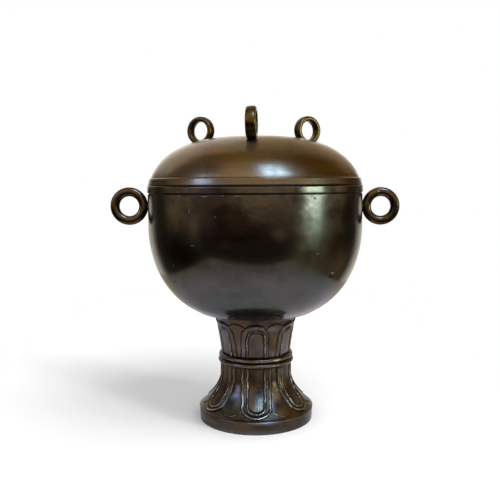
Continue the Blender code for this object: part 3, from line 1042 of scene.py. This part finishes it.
def marked(n, place, colour, look):
    """The colour with pits and pale crumbs on it, and how much of a crumb or scratch each spot is."""
    cells = n.add("ShaderNodeTexVoronoi", {"Vector": place, "Scale": 120, "Randomness": 1.0})
    size = n.span(n.noise(place, 160, 2), 0.52, 0.72, 0.0, 0.11)
    specks = n.math("LESS_THAN", cells.outputs["Distance"], n.math("MULTIPLY", size, look["specked"]))
    if "scratches" in look:
        scratched = n.marks(place, look["scratches"], belly_radius)
        specks = n.math("MAXIMUM", specks, n.math("MULTIPLY", scratched, 0.55))
    if "pits" in look:
        pitted = n.marks(place, look["pits"], belly_radius)
        colour = n.mix(n.math("MULTIPLY", pitted, 0.85), colour, BLACK)
    return n.mix(n.math("MULTIPLY", specks, 0.5), colour, CRUMB), specks


def worn_through(n, place, bloom_and_highlight, look):
    """Where wear shows bare metal, and that metal's colour: brassier in patches."""
    brass = n.math("MULTIPLY", n.span(n.noise(place, 38, 3), 0.50, 0.66), 0.9)
    brass = n.math("ADD", brass, bloom_and_highlight, True)
    metal = n.mix(brass, look["worn"], BRASS)
    bare = n.math("ADD", n.noise(place, 120, 4), n.math("MULTIPLY", bloom_and_highlight, 0.15))
    rub = n.math("MULTIPLY", n.span(n.attribute("wear"), 0.42, 1.0), n.span(bare, 0.32, 0.60))
    return rub, metal


def weighted(n, start, *parts):
    """A start value plus each part's value times its weight."""
    for value, weight in parts:
        start = n.math("ADD", start, n.math("MULTIPLY", value, weight))
    return start


def bronze(name, look):
    """Waxed patina over cast bronze: brown to olive clouds, black grime and painted shade in hollows and
    seams, brass where worn.
    """
    material = bpy.data.materials.new(name)
    material.use_nodes = True
    n = Nodes(material.node_tree)
    place = n.add("ShaderNodeTexCoord").outputs["Object"]
    patches = n.noise(place, 48, 5, 0.6)
    # light blooms, with painted highlights on the pedestal
    bloom_and_highlight = n.attribute("bloom_and_highlight")
    bloom_and_highlight = n.math("MULTIPLY", bloom_and_highlight, n.span(n.math("ADD", bloom_and_highlight, patches), 0.50, 0.90))
    colour = patina(n, place, patches, bloom_and_highlight, look)
    colour, specks = marked(n, place, colour, look)
    grime_and_shade = n.attribute("grime_and_shade")
    # black grime and painted shade
    colour = n.mix(n.math("MULTIPLY", n.span(grime_and_shade, 0.1, 0.8), 0.92), colour, BLACK)
    rub, metal = worn_through(n, place, bloom_and_highlight, look)
    colour = n.mix(n.math("MULTIPLY", rub, 0.8), colour, metal)
    dust = n.attribute("dust")
    mottled = n.span(patches, 0.3, 0.8)
    rings = n.attribute("ring")
    rough = weighted(
        n, look["gloss"], (mottled, 0.11), (grime_and_shade, 0.22), (specks, 0.30), (dust, 0.30), (rings, 0.03))
    rough = n.math("SUBTRACT", rough, n.math("MULTIPLY", rub, 0.04), True)
    metallic = n.math("SUBTRACT", 1.0, n.math("MULTIPLY", specks, 0.7))
    metallic = n.math("SUBTRACT", metallic, n.math("MULTIPLY", dust, 0.35), True)
    bumps = weighted(n, n.noise(place, 95, 3), (n.noise(place, 420, 4, 0.6), 0.18), (specks, -0.10))
    bump = n.add("ShaderNodeBump", {"Height": bumps, "Strength": look["bumpy"], "Distance": 0.0006})
    shader = n.add("ShaderNodeBsdfPrincipled", {
        "Base Color": colour,
        "Metallic": metallic,
        "Roughness": rough,
        "Normal": bump.outputs[0],
    })
    out = n.add("ShaderNodeOutputMaterial")
    n.tree.links.new(shader.outputs[0], out.inputs[0])
    return material


def make_materials(lid, bowl, pedestal):
    lid.data.materials.append(bronze("lid_bronze", LID_BRONZE))
    bowl.data.materials.append(bronze("bowl_bronze", BOWL_BRONZE))
    pedestal.data.materials.append(bronze("pedestal_bronze", PEDESTAL_BRONZE))


# ---------------------------------------------------------------- studio
SHEET_X = (-280, 235)
SHEET_Y = (-290, 620)
SHEET_CORNER = 90
CORNER_STEPS = 8
# Paper colour near and far: paler far off, painted light where the lamps fall off.
PAPER_WITH_PAINTED_FAR_LIGHT = (rgb(0.92, 0.92, 0.92), rgb(0.98, 0.98, 0.98))
# Painted reflection: the colour the bronze mirrors, near and far, warmer and darker far off.
PAPER_PAINTED_REFLECTION = (rgb(0.78, 0.735, 0.82), rgb(0.48, 0.42, 0.33))


def make_floor():
    """A sheet of pale paper with rounded corners. It is painted paler far off, and the bronze shows a
    painted reflection of it, warmer than it is and darker far off.
    """
    left, right = SHEET_X[0] + SHEET_CORNER, SHEET_X[1] - SHEET_CORNER
    front, back = SHEET_Y[0] + SHEET_CORNER, SHEET_Y[1] - SHEET_CORNER
    outline = []
    for cx, cy, start in ((right, back, 0), (left, back, 90), (left, front, 180), (right, front, 270)):
        for k in range(CORNER_STEPS + 1):
            turn = math.radians(start + 90 * k / CORNER_STEPS)
            spot = (cx + SHEET_CORNER * math.cos(turn), cy + SHEET_CORNER * math.sin(turn), 0.0)
            outline.append(spot)
    mesh = mesh_from("floor", outline, [tuple(range(len(outline)))])
    floor = bpy.data.objects.new("floor", mesh)
    bpy.context.scene.collection.objects.link(floor)
    material = bpy.data.materials.new("floor_paper")
    material.use_nodes = True
    n = Nodes(material.node_tree)
    place = n.add("ShaderNodeTexCoord").outputs["Object"]
    distance = n.add("ShaderNodeVectorMath", {0: place}, operation="LENGTH").outputs["Value"]
    # painted reflection: the colour the bronze mirrors, darker and warmer far off
    painted_reflection = n.mix(n.span(distance, 0.15, 0.30), *PAPER_PAINTED_REFLECTION)
    # painted light: the paper is paler far off, where the lamps fall off
    paper = n.mix(n.span(distance, 0.15, 0.33), *PAPER_WITH_PAINTED_FAR_LIGHT)
    is_mirrored = n.add("ShaderNodeLightPath").outputs["Is Glossy Ray"]
    colour = n.mix(is_mirrored, paper, painted_reflection)
    matte = {"Base Color": colour, "Roughness": 0.9, "Specular IOR Level": 0.0}
    shader = n.add("ShaderNodeBsdfPrincipled", matte)
    out = n.add("ShaderNodeOutputMaterial")
    n.tree.links.new(shader.outputs[0], out.inputs[0])
    mesh.materials.append(material)


# Turn from the front, elevation, distance in metres, size in metres and watts.
LIGHTS = {
    "high_window": (45, 60, 3.0, (1.7, 1.7), 46.2),
    "right_window": (54, 10, 2.6, (0.40, 0.30), 36),
}
LIGHT_TARGET = Vector((0, 0, 0.05))


def soft_light(name, azimuth, elevation, distance, size, watts):
    """An area light for the floor and its shadows. Azimuth 0 is in front, 90 to the right."""
    data = bpy.data.lights.new(name, "AREA")
    data.shape = "RECTANGLE"
    data.size, data.size_y = size
    data.energy = watts
    light = bpy.data.objects.new(name, data)
    bpy.context.scene.collection.objects.link(light)
    a, e = math.radians(azimuth), math.radians(elevation)
    towards = Vector((math.sin(a) * math.cos(e), -math.cos(a) * math.cos(e), math.sin(e)))
    light.location = LIGHT_TARGET + towards * distance
    light.rotation_mode = "QUATERNION"
    light.rotation_quaternion = towards.to_track_quat("Z", "Y")
    light.visible_glossy = False


def make_lights():
    for name, setting in LIGHTS.items():
        soft_light(name, *setting)


# Patches of the room: turn from and to, elevation from and to, softness, all in degrees, and colour.
WARM_SHADE = ((-60, -26, -20, 20, 7, rgb(0.60, 0.38, 0.24)),)
HIGH_PATCHES = (
    (-178, -120, 4, 50, 9, rgb(1.12, 0.98, 0.84)),
    (-90, -56, 36, 56, 7, rgb(0.46, 0.52, 0.56)),
)
WINDOWS = (
    (-68, -50, 14, 36, 3, rgb(3.3, 5.9, 14.0)),
    (12, 42, 40, 67, 3.0, rgb(6.8, 13.6, 30.0)),
    (51.5, 72.5, -4.5, 9.5, 2.5, rgb(12.2, 15.2, 13.4)),
)
LOW_PATCHES = (
    (42, 98, -60, 10, 13, rgb(0.38, 0.30, 0.16)),
    (92, 122, -60, -17, 8, rgb(0.34, 0.24, 0.12)),
    (48, 70, -17, 10, 7, rgb(1.10, 1.16, 0.80)),
)


def make_room():
    """The room that the bronze mirrors: warm walls, an amber ceiling, three windows and a dark floor.

    The camera sees plain white instead, and diffuse light comes from an even ring.
    """
    world = bpy.data.worlds.new("studio")
    bpy.context.scene.world = world
    world.cycles.sampling_method = "NONE"
    world.use_nodes = True
    n = Nodes(world.node_tree)
    direction = n.add("ShaderNodeTexCoord").outputs["Generated"]
    parts = n.add("ShaderNodeSeparateXYZ", {0: direction}).outputs
    towards_front = n.math("MULTIPLY", parts["Y"], -1.0)
    azimuth = n.math("DEGREES", n.math("ARCTAN2", parts["X"], towards_front))
    elevation = n.math("DEGREES", n.math("ARCSINE", parts["Z"]))
    turn = n.math("ABSOLUTE", azimuth)

    def band(value, low, high, soft):
        rise = n.span(value, low - soft, low + soft)
        return n.math("MULTIPLY", rise, n.span(value, high - soft, high + soft, 1.0, 0.0))

    def patched(colour, patches):
        for turn_from, turn_to, low, high, soft, shade in patches:
            across = band(azimuth, turn_from, turn_to, soft)
            inside = n.math("MULTIPLY", across, band(elevation, low, high, soft))
            colour = n.mix(inside, colour, shade)
        return colour

    # below and above eye level, from the front round to the back
    low = patched(rgb(1.25, 0.86, 0.52), WARM_SHADE)
    low = n.mix(n.span(turn, 92, 114), low, rgb(0.11, 0.07, 0.03))
    low = n.mix(n.span(turn, 142, 170), low, rgb(1.75, 1.60, 1.45))
    side = n.mix(n.span(azimuth, -30, 30), rgb(0.34, 0.30, 0.21), rgb(0.37, 0.185, 0.022))
    high = n.mix(n.span(turn, 28, 84), rgb(1.46, 1.28, 1.02), side)
    back = n.mix(n.span(azimuth, -30, 30), rgb(0.96, 0.78, 0.55), rgb(0.68, 0.52, 0.33))
    high = n.mix(n.span(turn, 118, 150), high, back)
    ceiling = n.mix(n.span(turn, 40, 120), rgb(0.86, 0.57, 0.28), rgb(0.55, 0.41, 0.19))
    high = n.mix(n.span(elevation, 56, 82), high, ceiling)
    high = patched(high, HIGH_PATCHES)
    colour = n.mix(n.span(elevation, 6, 26), low, high)
    # a strip of wall that is pale in front, dim at the sides and ends behind them
    rail = n.mix(n.span(turn, 62, 98), rgb(0.74, 0.82, 0.90), rgb(0.20, 0.16, 0.12))
    level = n.math("MULTIPLY", band(elevation, 12, 27, 5), n.span(turn, 100, 114, 0.85, 0.0))
    colour = n.mix(level, colour, rail)
    colour = patched(colour, WINDOWS)
    below = patched(rgb(0.068, 0.050, 0.036), LOW_PATCHES)
    below = n.mix(n.span(turn, 126, 146), below, rgb(0.88, 0.82, 0.70))
    colour = n.mix(n.span(elevation, -3.0, 0.6), below, colour)
    path = n.add("ShaderNodeLightPath").outputs
    around = n.mix(band(elevation, 16, 46, 6), rgb(0.0, 0.0, 0.0), rgb(1.6, 1.6, 1.6))
    colour = n.mix(path["Is Diffuse Ray"], colour, around)
    colour = n.mix(path["Is Camera Ray"], colour, rgb(1.0, 1.0, 1.0))
    background = n.add("ShaderNodeBackground", {"Color": colour, "Strength": 1.0})
    out = n.add("ShaderNodeOutputWorld")
    n.tree.links.new(background.outputs[0], out.inputs[0])


CAMERA_PLACE = (-0.0045, -0.548, 0.2019)
CAMERA_LENS = 46.08
CAMERA_DOWN = 5.85
CAMERA_ROLL = -0.35


def make_camera():
    """A normal lens a little over half a metre away, level with the lid's seam and tilted down."""
    data = bpy.data.cameras.new("camera")
    data.sensor_width = 36
    data.lens = CAMERA_LENS
    camera = bpy.data.objects.new("camera", data)
    bpy.context.scene.collection.objects.link(camera)
    camera.location = CAMERA_PLACE
    camera.rotation_mode = "QUATERNION"
    tilt = Euler((math.radians(90 - CAMERA_DOWN), 0, 0)).to_quaternion()
    camera.rotation_quaternion = tilt @ Quaternion((0, 0, 1), math.radians(CAMERA_ROLL))
    bpy.context.scene.camera = camera


make_camera()
make_materials(make_lid(), make_bowl(), make_pedestal())
make_floor()
make_lights()
make_room()
bpy.context.scene.view_settings.view_transform = "Standard"
